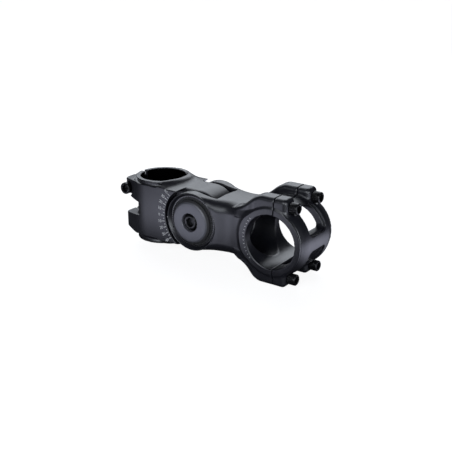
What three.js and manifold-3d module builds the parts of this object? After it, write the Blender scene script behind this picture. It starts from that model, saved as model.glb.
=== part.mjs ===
// Adjustable-angle bicycle handlebar stem, in millimetres, +Z up.
// The origin lies on the fork steerer's axis at the clamp's bottom face.
// +X points forwards to the handlebar and +Y to the rider's left.
// The toothed angle lock is drawn released: both caps stand proud and the arm is free to turn.
import * as THREE from 'three';
import { mergeVertices } from 'three/addons/utils/BufferGeometryUtils.js';
import Module from 'manifold-3d';

const wasm = await Module();
wasm.setup();

// Steerer clamp
const stackHeight = 40;
const steererRadius = 14.3;
const collarWall = 2.2;
const collarEdge = 0.9;
const slitWidth = 2.4;
const ringStand = 1.7;
const flankSlopeShare = 0.22;
const sideDrop = 3.1;
const crownDrop = 1.4;
const saddleSetback = 4;

// Rear lugs of the steerer clamp
const lugReach = 24.4;
const lugHalfWidth = 9.2;
const taperStart = 8;
const lugDrop = 3.9;
const lugHeight = 9.7;
const lugRoofRise = 1.3;
const lugEdge = 2.2;
const notchDepth = 18.1;
const notchDraft = 2.1;
const notchEdge = 1.8;
const pinchBoltInset = 3.9;
const pinchBoltMargin = 5.6;
const pinchSeatDepth = 0.7;
const pinchHoleMargin = 0.6;

// Tongue and the toothed pivot
const arcWallX = 14.6;
const tongueHalfWidth = 10.5;
const tongueEdge = 3;
const toothCount = 72;
const earRim = 2.3;
const toothDepth = 0.8;
const meshClearance = 0.3;
const tongueRecess = 2.5;
const tongueWebHalf = 1;
const springBoreRadius = 8.2;
const clampDrop = 2;

// Plain bushes pressed into the tongue
const bushWall = 0.9;
const bushInset = 7.1;
const bushFlangeWall = 0.5;
const bushFlangeRadius = 10.5;
const pressGap = 0.1;

// Extension arm
const earGap = 0.3;
const earWall = 6.2;
const earEdge = 0.9;
const earLipWidth = 0.9;
const earLipDepth = 1.3;
const arcGap = 1.4;
const throatGap = 4;
const neckDrop = 1.8;
const neckHollowRadius = 12.5;
const hollowMouthRadius = 14.6;
const neckWeb = 4.5;

// Handlebar clamp
const barX = 90.5;
const barRadius = 15.9;
const barWall = 5.4;
const barStand = 1.3;
const barBevelWidth = 3.7;
const barBevelDrop = 1.5;
const barLipWidth = 1.6;
const barLipWall = 3.5;
const barLipEdge = 0.5;
const boreChamfer = 0.6;
const splitSetback = 1.5;
const splitGap = 0.6;
const barBoltInset = 5.8;
const barBoltMargin = 5.1;
const bossRadius = 5.1;
const bossEdge = 3.8;
const bossLength = 7.8;
const ridgeRun = 24;
const ridgeFlat = 5.5;
const barBoltHoleDepth = 14;
const windowMargin = 4.3;
const windowTopMargin = 3.7;
const bridgeHalf = 5.2;
const windowCorner = 2.5;

// Lock caps
const capProud = 1.07;
const capInnerGap = 0.35;
const capRimHeight = 2.2;
const capRimMargin = 0.5;
const capChamfer = 2.65;
const capWeb = 2.2;
const capHubWall = 1.2;
const capSkirtWall = 1.1;
const capReliefDepth = 3.8;
const spigotRadius = 7.8;
const spigotInset = 5.5;
const lockTravel = 1.8;

// Pivot fasteners
const pivotBoltRadius = 3;
const pivotHeadRadius = 5;
const pivotHeadHeight = 3.2;
const pivotSocketFlat = 5;
const pivotSocketDepth = 2.4;
const pivotHeadEdge = 0.6;
const pivotBoltMargin = 2.8;
const washerThickness = 1;
const washerRadius = 5.3;
const nutFlangeFlat = 9.8;
const nutFlangeHeight = 3.9;
const nutBarrelRadius = 4.1;
const nutBarrelInset = 3.5;

// Release springs and their washers
const springWireRadius = 0.45;
const springCoilRadius = 5.35;
const springTurns = 4;
const springWasherThickness = 0.6;
const springWasherGap = 0.6;

// Clamp screws
const screwRadius = 2.5;
const screwHeadRadius = 3.25;
const screwHeadHeight = 5;
const screwSocketFlat = 4;
const screwSocketDepth = 2.6;
const screwEdge = 0.45;
const spotRadius = 4;
const pinchHeadRadius = 4;
const pinchSpotRadius = 4.6;
const barScrewLength = 19;
const pinchScrewLength = 16.5;

// Clearances and cutting
const runClearance = 0.15;
const seatGap = 0.15;
const looseGap = 0.3;
const headGap = 0.6;
const overrun = 2;

// Facets round a turn
const fineFacets = 36;
const mediumFacets = 26;
const smallFacets = 14;
const arcSteps = 6;

// Sizes worked out from the ones above
const midZ = stackHeight / 2;
const collarRadius = steererRadius + collarWall;
const flankReach = lugReach + lugHalfWidth;
const flankDrop = (flankReach - collarRadius) * flankSlopeShare;
const lugHalfSpan = midZ - lugDrop;
const lugGapHalf = lugHalfSpan - lugHeight;
const notchRootX = lugReach - notchDepth;
const notchRootHalf = lugGapHalf - notchDraft;
const pinchBoltX = lugReach - pinchBoltInset;
const pinchBoltRise = lugHalfSpan - pinchBoltMargin;
const pinchSeatY = lugHalfWidth - pinchSeatDepth;
const earRadius = midZ - clampDrop;
const tongueRadius = earRadius;
const toothRootRadius = earRadius - earRim;
const earClearRadius = earRadius + arcGap;
const pivotX = arcWallX + earClearRadius;
const saddleFront = pivotX - saddleSetback;
const throatRadius = tongueRadius + throatGap;
const neckHollowStart = pivotX + throatRadius + neckWeb;
const earInnerY = tongueHalfWidth + earGap;
const earHalfWidth = earInnerY + earWall;
const neckHalfWidth = earHalfWidth;
const neckHalfHeight = earRadius - neckDrop;
const barClampHalf = earHalfWidth + barStand;
const capInnerY = tongueHalfWidth + capInnerGap;
const capFaceY = earHalfWidth + capProud;
const capSeatY = capInnerY + capWeb;
const recessFloorY = tongueHalfWidth - tongueRecess;
const bushBoreRadius = spigotRadius + runClearance;
const bushRadius = bushBoreRadius + bushWall;
const bushInnerY = tongueHalfWidth - bushInset;
const spigotEndY = tongueHalfWidth - spigotInset;
const nutBarrelEndY = tongueHalfWidth - nutBarrelInset;
const capRimRadius = toothRootRadius - toothDepth - capRimMargin;
const capFaceRadius = capRimRadius - capChamfer;
const capReliefInner = spigotRadius + capHubWall;
const capReliefOuter = capRimRadius - capSkirtWall;
const pocketRadius = springCoilRadius + springWireRadius + looseGap;
const counterboreRadius = pivotHeadRadius + headGap;
const nutSeatY = capSeatY + seatGap;
const pivotBoltEnd = nutSeatY + nutFlangeHeight - pivotBoltMargin;
const springWasherRadius = springBoreRadius - springWasherGap;
const barBodyRadius = barRadius + barWall;
const barLipRadius = barRadius + barLipWall;
const barShoulderRadius = barBodyRadius - barBevelDrop;
const barShoulderHalf = barClampHalf - barLipWidth;
const barBodyHalf = barShoulderHalf - barBevelWidth;
const barBoltY = barClampHalf - barBoltInset;
const barBoltRise = barRadius + barBoltMargin;
const splitX = barX + splitSetback;
const bossSeatX = splitX + splitGap + bossLength;
const ridgeCrestX = barX - ridgeFlat;
const ridgeFootX = ridgeCrestX - ridgeRun;
const neckEnd = barX - barRadius / 2;
const windowHalfWidth = barBoltY - windowMargin;
const windowLow = bridgeHalf;
const windowHigh = barBodyRadius - windowTopMargin;

const bodyFinish = new THREE.MeshStandardMaterial({ color: 0x1d1e22, roughness: 0.5, metalness: 0.7 });
const capFinish = new THREE.MeshStandardMaterial({ color: 0x232427, roughness: 0.55, metalness: 0.7 });
const screwFinish = new THREE.MeshStandardMaterial({ color: 0x0d0d0f, roughness: 0.3, metalness: 0.9 });
const steelFinish = new THREE.MeshStandardMaterial({ color: 0x8d9094, roughness: 0.35, metalness: 1 });
const bushFinish = new THREE.MeshStandardMaterial({ color: 0x2a2a2a, roughness: 0.7, metalness: 0 });

// Turns a closed three.js geometry into a solid with outward faces.
function solid(geometry) {
  const bare = geometry.index ? geometry.toNonIndexed() : geometry.clone();
  bare.deleteAttribute('normal');
  bare.deleteAttribute('uv');
  const merged = mergeVertices(bare);
  const points = merged.attributes.position;
  const index = merged.index.array;
  const a = new THREE.Vector3();
  const b = new THREE.Vector3();
  const c = new THREE.Vector3();
  const faces = [];
  let volume = 0;
  for (let i = 0; i < index.length; i += 3) {
    const [p, q, r] = [index[i], index[i + 1], index[i + 2]];
    if (p === q || q === r || r === p) continue;
    faces.push([p, q, r]);
    a.fromBufferAttribute(points, p);
    b.fromBufferAttribute(points, q);
    c.fromBufferAttribute(points, r);
    volume += a.dot(b.cross(c));
  }
  const outward = volume > 0 ? faces : faces.map(([p, q, r]) => [p, r, q]);
  const triVerts = new Uint32Array(outward.flat());
  const vertProperties = new Float32Array(points.array);
  return new wasm.Manifold(new wasm.Mesh({ numProp: 3, vertProperties, triVerts }));
}

// An outline extruded along one axis: X takes a (y, z) outline, Y takes (x, z) and Z takes (x, y).
function prism(axis, outline, from, to, edge = 0, edgeSteps = 2) {
  const geometry = new THREE.ExtrudeGeometry(outline, {
    depth: to - from - 2 * edge,
    curveSegments: arcSteps,
    bevelEnabled: edge > 0,
    bevelThickness: edge,
    bevelSize: edge,
    bevelOffset: -edge,
    bevelSegments: edgeSteps,
  });
  geometry.translate(0, 0, edge);
  if (axis === 'x') {
    const turn = new THREE.Matrix4();
    turn.set(0, 0, 1, from, 1, 0, 0, 0, 0, 1, 0, 0, 0, 0, 0, 1);
    geometry.applyMatrix4(turn);
  } else if (axis === 'y') {
    geometry.rotateX(Math.PI / 2);
    geometry.translate(0, to, 0);
  } else {
    geometry.translate(0, 0, from);
  }
  return solid(geometry);
}

// A round bar along an axis, centred on the two other coordinates.
function rod(axis, radius, from, to, centre, facets = mediumFacets) {
  const geometry = new THREE.CylinderGeometry(radius, radius, to - from, facets);
  const middle = (from + to) / 2;
  if (axis === 'x') geometry.rotateZ(Math.PI / 2).translate(middle, centre[0], centre[1]);
  if (axis === 'y') geometry.translate(centre[0], middle, centre[1]);
  if (axis === 'z') geometry.rotateX(Math.PI / 2).translate(centre[0], centre[1], middle);
  return solid(geometry);
}

// A revolved profile of [radius, height] pairs about the local Y axis.
function revolve(profile, facets = mediumFacets) {
  const points = profile.map(([radius, height]) => new THREE.Vector2(radius, height));
  return solid(new THREE.LatheGeometry(points, facets));
}

function ring(inner, outer, from, to, facets = mediumFacets) {
  return revolve([[inner, from], [outer, from], [outer, to], [inner, to], [inner, from]], facets);
}

function block(x, y, z) {
  const geometry = new THREE.BoxGeometry(x[1] - x[0], y[1] - y[0], z[1] - z[0]);
  geometry.translate((x[0] + x[1]) / 2, (y[0] + y[1]) / 2, (z[0] + z[1]) / 2);
  return solid(geometry);
}

function polygon(points) {
  return new THREE.Shape(points.map(([x, y]) => new THREE.Vector2(x, y)));
}

// A polygon and its mirror image below the line at the given height, joined into one outline.
function mirrored(upper, height) {
  const lower = upper.map(([x, y]) => [x, 2 * height - y]).reverse();
  return polygon([...upper, ...lower]);
}

function serration(radius, centre = [0, 0]) {
  const points = [];
  for (let i = 0; i < 2 * toothCount; i += 1) {
    const angle = (i * Math.PI) / toothCount;
    const reach = i % 2 === 0 ? radius : radius - toothDepth;
    points.push([centre[0] + reach * Math.cos(angle), centre[1] + reach * Math.sin(angle)]);
  }
  return polygon(points);
}

function hexagon(flat) {
  const corner = flat / 2 / Math.cos(Math.PI / 6);
  const points = [];
  for (let i = 0; i < 6; i += 1) {
    const angle = (i * Math.PI) / 3;
    points.push([corner * Math.cos(angle), corner * Math.sin(angle)]);
  }
  return polygon(points);
}

// A skin through equal rings of points, closed by a fan at each end.
function loft(rings) {
  const count = rings[0].length;
  const first = new THREE.Vector3();
  const last = new THREE.Vector3();
  for (let i = 0; i < count; i += 1) {
    first.addScaledVector(rings[0][i], 1 / count);
    last.addScaledVector(rings.at(-1)[i], 1 / count);
  }
  const vertices = [...rings.flat(), first, last];
  const faces = [];
  for (let i = 0; i < count; i += 1) {
    const next = (i + 1) % count;
    faces.push(vertices.length - 2, next, i);
    for (let k = 0; k < rings.length - 1; k += 1) {
      const base = k * count;
      faces.push(base + i, base + next, base + count + i);
      faces.push(base + next, base + count + next, base + count + i);
    }
    const end = (rings.length - 1) * count;
    faces.push(vertices.length - 1, end + i, end + next);
  }
  const geometry = new THREE.BufferGeometry().setFromPoints(vertices);
  geometry.setIndex(faces);
  return solid(geometry);
}

const group = new THREE.Group();

// Adds one named piece to the stem.
function addPiece(name, shape, material, place = () => {}) {
  const raw = shape.getMesh();
  const geometry = new THREE.BufferGeometry();
  geometry.setAttribute('position', new THREE.BufferAttribute(raw.vertProperties, 3));
  geometry.setIndex(new THREE.BufferAttribute(raw.triVerts, 1));
  const flat = geometry.toNonIndexed();
  flat.computeVertexNormals();
  const mesh = new THREE.Mesh(flat, material);
  mesh.name = name;
  place(mesh);
  group.add(mesh);
}

// The collar round the steerer, with rounded end edges.
function steererCollar() {
  const profile = [[0, 0]];
  const steps = 2;
  for (let i = 0; i <= steps; i += 1) {
    const angle = (i / steps) * (Math.PI / 2);
    const reach = collarRadius - collarEdge + collarEdge * Math.sin(angle);
    profile.push([reach, collarEdge - collarEdge * Math.cos(angle)]);
  }
  const upper = profile.map(([radius, height]) => [radius, stackHeight - height]).reverse();
  const geometry = solid(new THREE.LatheGeometry(
    [...profile, ...upper].map(([radius, height]) => new THREE.Vector2(radius, height)),
    fineFacets,
  ).rotateX(Math.PI / 2));
  return geometry;
}

// Places and heights of the wave that leads from the collar's top edge down to the tongue.
function saddleWave() {
  const tongueTop = midZ + tongueRadius;
  const steps = 4;
  const stations = [];
  for (let i = 0; i <= steps; i += 1) {
    const share = i / steps;
    const wave = (1 + Math.cos(Math.PI * share)) / 2;
    stations.push([
      steererRadius + share * (saddleFront - steererRadius),
      tongueTop + wave * (stackHeight - tongueTop),
    ]);
  }
  return [...stations, [pivotX, tongueTop]];
}

// The arched top and bottom of the clamp's body: level behind, and in front of the axis it follows
// the wave. Across, it falls to the crease at either side.
function clampCrown() {
  const crest = stackHeight - crownDrop;
  const crease = stackHeight - sideDrop;
  const acrossShares = [-1, -0.6, 0.6, 1];
  const riseShares = [0, 0.75, 0.75, 0];
  const stations = [[-lugReach, crest], [0, crest], ...saddleWave()];
  return loft(stations.map(([x, top]) => {
    const upper = acrossShares.map((share, i) => new THREE.Vector3(
      x,
      share * collarRadius,
      crease + riseShares[i] * (top - crease),
    ));
    const lower = upper.map((point) => new THREE.Vector3(x, point.y, 2 * midZ - point.z)).reverse();
    return [...upper, ...lower];
  }));
}

// The forged body between the rear lugs and the ears.
function clampBody() {
  const front = pivotX;
  const half = [
    [front, collarRadius],
    [-taperStart, collarRadius],
    [-lugReach, lugHalfWidth],
  ];
  const plan = prism('z', mirrored(half, 0), 0, stackHeight);

  const roof = midZ + lugHalfSpan;
  const side = prism('y', mirrored([
    [front, stackHeight],
    [-taperStart, stackHeight],
    [-taperStart, roof + lugRoofRise],
    [-lugReach + lugEdge, roof],
    [-lugReach, roof - lugEdge],
    [-lugReach, midZ + lugGapHalf],
    [-notchRootX - notchEdge, midZ + notchRootHalf],
    [-notchRootX, midZ + notchRootHalf - notchEdge],
  ], midZ), -collarRadius, collarRadius);
  const crown = clampCrown();

  const flankTop = stackHeight - ringStand;
  const spindle = solid(new THREE.LatheGeometry([
    [0, stackHeight - flankTop],
    [collarRadius, stackHeight - flankTop],
    [flankReach, stackHeight - flankTop + flankDrop],
    [flankReach, flankTop - flankDrop],
    [collarRadius, flankTop],
    [0, flankTop],
  ].map(([radius, height]) => new THREE.Vector2(radius, height)), fineFacets).rotateX(Math.PI / 2));
  const frontHalf = block([0, front], [-collarRadius, collarRadius], [0, stackHeight]);
  return plan.intersect(side).intersect(crown).intersect(spindle.add(frontHalf));
}

// The tongue that the arm's ears clasp, and the saddle that leads to it from the collar.
function tongue() {
  const outline = new THREE.Shape();
  outline.moveTo(0, midZ - tongueRadius);
  outline.lineTo(pivotX, midZ - tongueRadius);
  outline.absarc(pivotX, midZ, tongueRadius, -Math.PI / 2, Math.PI / 2, false);
  outline.lineTo(0, midZ + tongueRadius);
  const finger = prism('y', outline, -tongueHalfWidth, tongueHalfWidth, tongueEdge);

  const saddle = mirrored([[0, stackHeight], ...saddleWave()], midZ);
  return finger.add(prism('y', saddle, -tongueHalfWidth, tongueHalfWidth, tongueEdge));
}

function steererClamp() {
  let shape = clampBody().add(steererCollar());
  const wide = collarRadius + overrun;
  shape = shape.subtract(rod('y', earClearRadius, -wide, wide, [pivotX, midZ], fineFacets));
  shape = shape.add(tongue());
  shape = shape.subtract(
    rod('z', steererRadius, -overrun, stackHeight + overrun, [0, 0], fineFacets),
  );
  shape = shape.subtract(block(
    [-lugReach - overrun, -steererRadius / 2],
    [-slitWidth / 2, slitWidth / 2],
    [-overrun, stackHeight + overrun],
  ));

  const throughHole = pivotBoltRadius + looseGap;
  const teeth = serration(toothRootRadius, [pivotX, midZ]);
  shape = shape.subtract(
    rod('y', throughHole, -tongueHalfWidth, tongueHalfWidth, [pivotX, midZ], smallFacets),
  );
  for (const side of [-1, 1]) {
    const span = (near, far) => [side * near, side * far].sort((a, b) => a - b);
    const mouth = tongueHalfWidth + overrun;
    const bore = span(tongueWebHalf, mouth);
    const bushSeat = span(bushInnerY - pressGap, mouth);
    const recess = span(recessFloorY, mouth);
    shape = shape.subtract(rod('y', springBoreRadius, ...bore, [pivotX, midZ]));
    shape = shape.subtract(rod('y', bushRadius + pressGap, ...bushSeat, [pivotX, midZ]));
    shape = shape.subtract(prism('y', teeth, ...recess));

    // The upper screw enters from the right and the lower one from the left.
    const boltZ = midZ - side * pinchBoltRise;
    const centre = [-pinchBoltX, boltZ];
    const hole = [side * wide, -side * (pinchSeatY - pinchHoleMargin)].sort((a, b) => a - b);
    shape = shape.subtract(rod('y', pinchSpotRadius, ...span(pinchSeatY, wide), centre, smallFacets));
    shape = shape.subtract(rod('y', screwRadius + runClearance, ...hole, centre, smallFacets));
  }
  return shape;
}

// One section of the arm, a rounded box whose corners open out as the fullness falls.
function armSection(x, halfHeight, fullness) {
  const points = [];
  for (let i = 0; i < mediumFacets; i += 1) {
    const angle = (i * 2 * Math.PI) / mediumFacets;
    const [c, s] = [Math.cos(angle), Math.sin(angle)];
    const reach = (Math.abs(c) ** fullness + Math.abs(s) ** fullness) ** (-1 / fullness);
    points.push(new THREE.Vector3(x, neckHalfWidth * reach * c, midZ + halfHeight * reach * s));
  }
  return points;
}

// Height above or below the arm's middle of the two ridges that carry the bar screws.
function ridgeOutline(side) {
  const crest = midZ + side * (barBoltRise + bossRadius);
  const footDropShare = 3.2;
  const foot = midZ + side * (neckHalfHeight - footDropShare * bossEdge);
  const toe = midZ + side * (neckHalfHeight - bossEdge);
  const bendX = (ridgeFootX + barX) / 2;
  const shape = new THREE.Shape();
  shape.moveTo(ridgeFootX, foot);
  shape.lineTo(ridgeFootX, toe);
  shape.bezierCurveTo(bendX, toe, bendX, crest, ridgeCrestX, crest);
  shape.lineTo(splitX + bossEdge + overrun, crest);
  shape.lineTo(splitX + bossEdge + overrun, foot);
  return shape;
}

// The outside of the handlebar clamp, a barrel about the bar's axis.
function barBarrel() {
  const half = [
    [0, barClampHalf],
    [barLipRadius - barLipEdge, barClampHalf],
    [barLipRadius, barClampHalf - barLipEdge],
    [barLipRadius, barShoulderHalf],
    [barShoulderRadius, barShoulderHalf],
    [barBodyRadius, barBodyHalf],
  ];
  const profile = [...half, ...half.map(([radius, y]) => [radius, -y]).reverse()];
  return revolve(profile, fineFacets).translate([barX, 0, midZ]);
}

function barBore() {
  const half = [
    [0, barClampHalf + overrun],
    [barRadius + boreChamfer + overrun, barClampHalf + overrun],
    [barRadius, barClampHalf - boreChamfer],
  ];
  const profile = [...half, ...half.map(([radius, y]) => [radius, -y]).reverse()];
  return revolve(profile, fineFacets).translate([barX, 0, midZ]);
}

function extensionArm() {
  const half = [
    [0, earHalfWidth],
    [earRadius - earEdge, earHalfWidth],
    [earRadius, earHalfWidth - earEdge],
  ];
  const ears = revolve([...half, ...half.map(([radius, y]) => [radius, -y]).reverse()], fineFacets);
  let shape = ears.translate([pivotX, 0, midZ]);

  // Places along the arm as shares of the run from the pivot to the neck's end.
  const stationShares = [0, 0.15, 0.3, 0.43, 0.57, 1];
  const fullnessShares = [14, 9, 6.6, 5.6, 5, 5];
  const heightShares = [1, 0.8, 0.25, 0.05, 0, 0];
  const run = neckEnd - pivotX;
  shape = shape.add(loft(stationShares.map((share, i) => armSection(
    pivotX + share * run,
    neckHalfHeight + heightShares[i] * (earRadius - neckHalfHeight),
    fullnessShares[i],
  ))));

  shape = shape.add(barBarrel());
  for (const y of [-barBoltY, barBoltY]) {
    for (const side of [-1, 1]) {
      shape = shape.add(prism('y', ridgeOutline(side), y - bossRadius, y + bossRadius, bossEdge));
    }
  }
  const tall = barBodyRadius + barBoltRise;
  shape = shape.intersect(block(
    [-lugReach, splitX],
    [-tall, tall],
    [midZ - tall, midZ + tall],
  ));
  shape = shape.subtract(barBore());
  const hollow = revolve([
    [0, neckHollowStart],
    [neckHollowRadius, neckHollowStart],
    [hollowMouthRadius, neckEnd],
    [hollowMouthRadius, barX],
    [0, barX],
  ]);
  shape = shape.subtract(hollow.rotate([0, 0, -90]).translate([0, 0, midZ]));
  shape = shape.subtract(rod('y', throatRadius, -earInnerY, earInnerY, [pivotX, midZ], fineFacets));
  const across = earHalfWidth + overrun;
  shape = shape.subtract(prism('y', serration(toothRootRadius, [pivotX, midZ]), -across, across));
  for (const turn of [0, 180]) {
    const lip = revolve([
      [0, earHalfWidth - earLipDepth],
      [toothRootRadius, earHalfWidth - earLipDepth],
      [toothRootRadius + earLipWidth, earHalfWidth],
      [toothRootRadius + earLipWidth, across],
      [0, across],
    ], fineFacets);
    shape = shape.subtract(lip.rotate([turn, 0, 0]).translate([pivotX, 0, midZ]));
  }
  for (const y of [-barBoltY, barBoltY]) {
    for (const z of [midZ - barBoltRise, midZ + barBoltRise]) {
      const hole = screwRadius + runClearance;
      shape = shape.subtract(rod('x', hole, splitX - barBoltHoleDepth, splitX + overrun, [y, z], smallFacets));
    }
  }
  return shape;
}

function roundedWindow(low, high) {
  const [w, r] = [windowHalfWidth, windowCorner];
  const shape = new THREE.Shape();
  shape.moveTo(-w + r, low);
  shape.lineTo(w - r, low);
  shape.absarc(w - r, low + r, r, -Math.PI / 2, 0, false);
  shape.lineTo(w, high - r);
  shape.absarc(w - r, high - r, r, 0, Math.PI / 2, false);
  shape.lineTo(-w + r, high);
  shape.absarc(-w + r, high - r, r, Math.PI / 2, Math.PI, false);
  shape.lineTo(-w, low + r);
  shape.absarc(-w + r, low + r, r, Math.PI, 1.5 * Math.PI, false);
  return shape;
}

function facePlate() {
  const plateX = splitX + splitGap;
  const farX = barX + barBodyRadius + overrun;
  let shape = barBarrel();
  for (const y of [-barBoltY, barBoltY]) {
    for (const z of [midZ - barBoltRise, midZ + barBoltRise]) {
      shape = shape.add(rod('x', bossRadius, barX, bossSeatX, [y, z], smallFacets));
    }
  }
  const tall = barBodyRadius + barBoltRise;
  shape = shape.intersect(block([plateX, farX], [-tall, tall], [midZ - tall, midZ + tall]));
  shape = shape.subtract(barBore());
  for (const [low, high] of [[windowLow, windowHigh], [-windowHigh, -windowLow]]) {
    shape = shape.subtract(prism('x', roundedWindow(midZ + low, midZ + high), barX, farX));
  }
  for (const y of [-barBoltY, barBoltY]) {
    for (const z of [midZ - barBoltRise, midZ + barBoltRise]) {
      const hole = screwRadius + looseGap;
      shape = shape.subtract(rod('x', hole, barX, farX, [y, z], smallFacets));
      shape = shape.subtract(rod('x', spotRadius, bossSeatX, farX, [y, z], smallFacets));
    }
  }
  return shape;
}

// A lock cap about its own Y axis, which points out of the stem. The seat is round or hexagonal.
function lockCap(holeRadius, seat) {
  const teethRadius = toothRootRadius - meshClearance;
  const teethTop = capFaceY - capRimHeight;
  let shape = prism('y', serration(teethRadius), capInnerY, teethTop);
  shape = shape.add(revolve([
    [0, capSeatY],
    [capRimRadius, capSeatY],
    [capRimRadius, teethTop],
    [capFaceRadius, capFaceY],
    [0, capFaceY],
  ]));
  shape = shape.add(rod('y', spigotRadius, spigotEndY, capSeatY, [0, 0]));
  const reliefEnd = capInnerY + capReliefDepth;
  shape = shape.subtract(ring(capReliefInner, capReliefOuter, capInnerY - overrun, reliefEnd));
  shape = shape.subtract(rod('y', pocketRadius, spigotEndY - overrun, capInnerY, [0, 0]));
  shape = shape.subtract(rod('y', holeRadius, capInnerY - overrun, capFaceY + overrun, [0, 0]));
  return shape.subtract(seat);
}

// A socket screw about its own Y axis, with its seat at 0, the head above it and the shank below.
function socketScrew(radius, length, headRadius, headHeight, socketFlat, socketDepth, edge) {
  const body = revolve([
    [0, -length],
    [radius, -length],
    [radius, 0],
    [headRadius, 0],
    [headRadius, headHeight - edge],
    [headRadius - edge, headHeight],
    [0, headHeight],
  ], smallFacets);
  const depth = headHeight - socketDepth;
  return body.subtract(prism('y', hexagon(socketFlat), depth, headHeight + overrun));
}

// The coil of a release spring, drawn at the length that it has when the lock is closed.
class Coil extends THREE.Curve {
  constructor(from, to) {
    super();
    this.from = from;
    this.to = to;
  }

  getPoint(t) {
    const angle = t * springTurns * 2 * Math.PI;
    return new THREE.Vector3(
      springCoilRadius * Math.cos(angle),
      this.from + t * (this.to - this.from),
      springCoilRadius * Math.sin(angle),
    );
  }
}

function releaseSpring() {
  const from = tongueWebHalf + 2 * seatGap + springWasherThickness + springWireRadius;
  const to = capInnerY - lockTravel - looseGap - springWireRadius;
  const wire = new THREE.Shape();
  wire.absarc(0, 0, springWireRadius, 0, 2 * Math.PI, false);
  const stepsPerTurn = 8;
  return solid(new THREE.ExtrudeGeometry(wire, {
    curveSegments: 3,
    steps: springTurns * stepsPerTurn,
    extrudePath: new Coil(from, to),
  }));
}

// Puts a piece on the pivot's axis, with its own Y axis pointing out of the given side.
function onPivot(side) {
  return (mesh) => {
    mesh.position.set(pivotX, 0, midZ);
    mesh.rotation.x = side > 0 ? 0 : Math.PI;
  };
}

addPiece('steerer_clamp', steererClamp(), bodyFinish);
addPiece('extension_arm', extensionArm(), bodyFinish);
addPiece('face_plate', facePlate(), bodyFinish);

const sides = { right: -1, left: 1 };

// Lock caps, with what seats in them
const roundSeat = rod('y', counterboreRadius, capSeatY, capFaceY + overrun, [0, 0]);
const hexSeat = prism('y', hexagon(nutFlangeFlat + looseGap), capSeatY, capFaceY + overrun);
addPiece('right_lock_cap', lockCap(pivotBoltRadius + looseGap, roundSeat), capFinish, onPivot(-1));
addPiece('left_lock_cap', lockCap(nutBarrelRadius + looseGap, hexSeat), capFinish, onPivot(1));

const washerY = capSeatY + seatGap;
addPiece(
  'pivot_washer',
  ring(pivotBoltRadius + runClearance, washerRadius, washerY, washerY + washerThickness, smallFacets),
  steelFinish,
  onPivot(-1),
);

const pivotSeatY = washerY + washerThickness + seatGap;
const pivotBolt = socketScrew(
  pivotBoltRadius,
  pivotSeatY + pivotBoltEnd,
  pivotHeadRadius,
  pivotHeadHeight,
  pivotSocketFlat,
  pivotSocketDepth,
  pivotHeadEdge,
);
addPiece('pivot_bolt', pivotBolt.translate([0, pivotSeatY, 0]), screwFinish, onPivot(-1));

const nut = prism('y', hexagon(nutFlangeFlat), nutSeatY, nutSeatY + nutFlangeHeight)
  .add(rod('y', nutBarrelRadius, nutBarrelEndY, nutSeatY + nutFlangeHeight / 2, [0, 0], smallFacets))
  .subtract(rod(
    'y',
    pivotBoltRadius + runClearance,
    nutBarrelEndY - overrun,
    capFaceY + overrun,
    [0, 0],
    smallFacets,
  ));
addPiece('pivot_sleeve_nut', nut, steelFinish, onPivot(1));

// Bushes, springs and spring washers, one of each on either side of the tongue's web
for (const [label, side] of Object.entries(sides)) {
  const flangeY = recessFloorY + pressGap;
  const bush = revolve([
    [bushBoreRadius, bushInnerY],
    [bushRadius, bushInnerY],
    [bushRadius, flangeY],
    [bushFlangeRadius, flangeY],
    [bushFlangeRadius, flangeY + bushFlangeWall],
    [bushBoreRadius, flangeY + bushFlangeWall],
    [bushBoreRadius, bushInnerY],
  ]);
  addPiece(`${label}_pivot_bush`, bush, bushFinish, onPivot(side));

  const seatY = tongueWebHalf + seatGap;
  const disc = ring(
    nutBarrelRadius + looseGap,
    springWasherRadius,
    seatY,
    seatY + springWasherThickness,
    smallFacets,
  );
  addPiece(`${label}_spring_washer`, disc, steelFinish, onPivot(side));
  addPiece(`${label}_release_spring`, releaseSpring(), steelFinish, onPivot(side));
}

// The four screws that draw the face plate to the arm
const barScrew = socketScrew(
  screwRadius,
  barScrewLength,
  screwHeadRadius,
  screwHeadHeight,
  screwSocketFlat,
  screwSocketDepth,
  screwEdge,
);
for (const [label, side] of Object.entries(sides)) {
  for (const [level, sign] of Object.entries({ upper: 1, lower: -1 })) {
    addPiece(`${level}_${label}_bar_screw`, barScrew, screwFinish, (mesh) => {
      mesh.position.set(bossSeatX + seatGap, side * barBoltY, midZ + sign * barBoltRise);
      mesh.rotation.z = -Math.PI / 2;
    });
  }
}

// The two screws that close the clamp on the steerer, entered from opposite sides
const pinchScrew = socketScrew(
  screwRadius,
  pinchScrewLength,
  pinchHeadRadius,
  screwHeadHeight,
  screwSocketFlat,
  screwSocketDepth,
  screwEdge,
);
for (const [level, side] of Object.entries({ upper: -1, lower: 1 })) {
  addPiece(`${level}_pinch_screw`, pinchScrew, screwFinish, (mesh) => {
    mesh.position.set(-pinchBoltX, side * (pinchSeatY + seatGap), midZ - side * pinchBoltRise);
    mesh.rotation.x = side > 0 ? 0 : Math.PI;
  });
}

export default group;
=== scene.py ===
import bmesh
import bpy
import numpy as np
from mathutils import Matrix, Vector


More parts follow.
